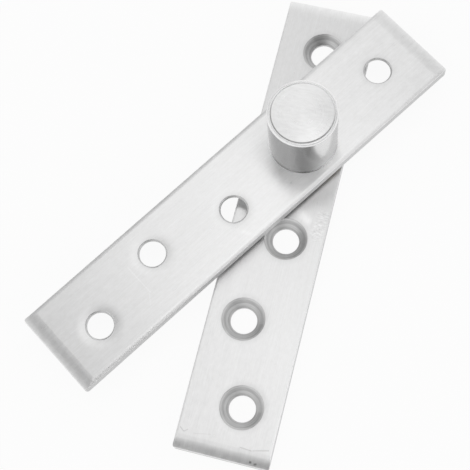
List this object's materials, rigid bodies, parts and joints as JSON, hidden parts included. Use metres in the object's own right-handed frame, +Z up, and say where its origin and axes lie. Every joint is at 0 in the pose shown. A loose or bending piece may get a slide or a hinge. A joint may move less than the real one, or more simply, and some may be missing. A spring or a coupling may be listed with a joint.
{
  "type": "pivot hinge",
  "caption": "Hidden door pivot hinge: two crossed brushed steel strap plates with countersunk screw holes, swivelling on a pin in a round ball-bearing barrel.",
  "frame": {"origin": "on the pivot axis, at the underside of the lower (frame) plate", "axes": "+Z up along the pivot axis, out of the barrel's capped end; +Y along the lower plate towards its short end; +X across the lower plate"},
  "size_m": [0.0907, 0.1278, 0.0258],
  "materials": {
    "plate_steel": "stainless steel, brushed along each plate",
    "barrel_steel": "stainless steel, turned and polished",
    "cap_steel": "stainless steel, faced on the lathe",
    "pin_steel": "turned steel",
    "washer_brass": "smooth brass",
    "spring_steel": "blackened spring steel",
    "bearing_steel": "ground bearing steel",
    "shield_steel": "pressed sheet steel",
    "ball_steel": "polished bearing steel",
    "cage_nylon": "natural nylon"
  },
  "bodies": {
    "frame_side": {"frame_plate": "plate_steel", "pivot_pin": "pin_steel", "thrust_washer": "washer_brass", "inner_spacer": "pin_steel", "retaining_ring": "spring_steel", "lower_inner_ring": "bearing_steel", "upper_inner_ring": "bearing_steel"},
    "door_side": {"door_plate": "plate_steel", "barrel": "barrel_steel", "end_cap": "cap_steel", "cap_spacer": "pin_steel", "outer_spacer": "pin_steel", "lower_outer_ring": "bearing_steel", "upper_outer_ring": "bearing_steel", "lower_shield_below": "shield_steel", "lower_shield_above": "shield_steel", "upper_shield_below": "shield_steel", "upper_shield_above": "shield_steel"},
    "lower_ball_set": {"lower_cage": "cage_nylon", "lower_ball_1": "ball_steel", "lower_ball_2": "ball_steel", "lower_ball_3": "ball_steel", "lower_ball_4": "ball_steel", "lower_ball_5": "ball_steel", "lower_ball_6": "ball_steel", "lower_ball_7": "ball_steel", "lower_ball_8": "ball_steel", "lower_ball_9": "ball_steel"},
    "upper_ball_set": {"upper_cage": "cage_nylon", "upper_ball_1": "ball_steel", "upper_ball_2": "ball_steel", "upper_ball_3": "ball_steel", "upper_ball_4": "ball_steel", "upper_ball_5": "ball_steel", "upper_ball_6": "ball_steel", "upper_ball_7": "ball_steel", "upper_ball_8": "ball_steel", "upper_ball_9": "ball_steel"}
  },
  "joints": [
    {"name": "door_swivel", "type": "hinge", "parent": "frame_side", "child": "door_side", "pos_m": [0, 0, 0.0045], "axis": [0, 0, 1], "continuous": true},
    {"name": "lower_ball_orbit", "type": "hinge", "parent": "frame_side", "child": "lower_ball_set", "pos_m": [0, 0, 0.0045], "axis": [0, 0, 1], "continuous": true},
    {"name": "upper_ball_orbit", "type": "hinge", "parent": "frame_side", "child": "upper_ball_set", "pos_m": [0, 0, 0.0075], "axis": [0, 0, 1], "continuous": true}
  ],
  "couplings": [
    {"joint": "lower_ball_orbit", "follows": "door_swivel", "ratio": 0.6},
    {"joint": "upper_ball_orbit", "follows": "door_swivel", "ratio": 0.6}
  ]
}
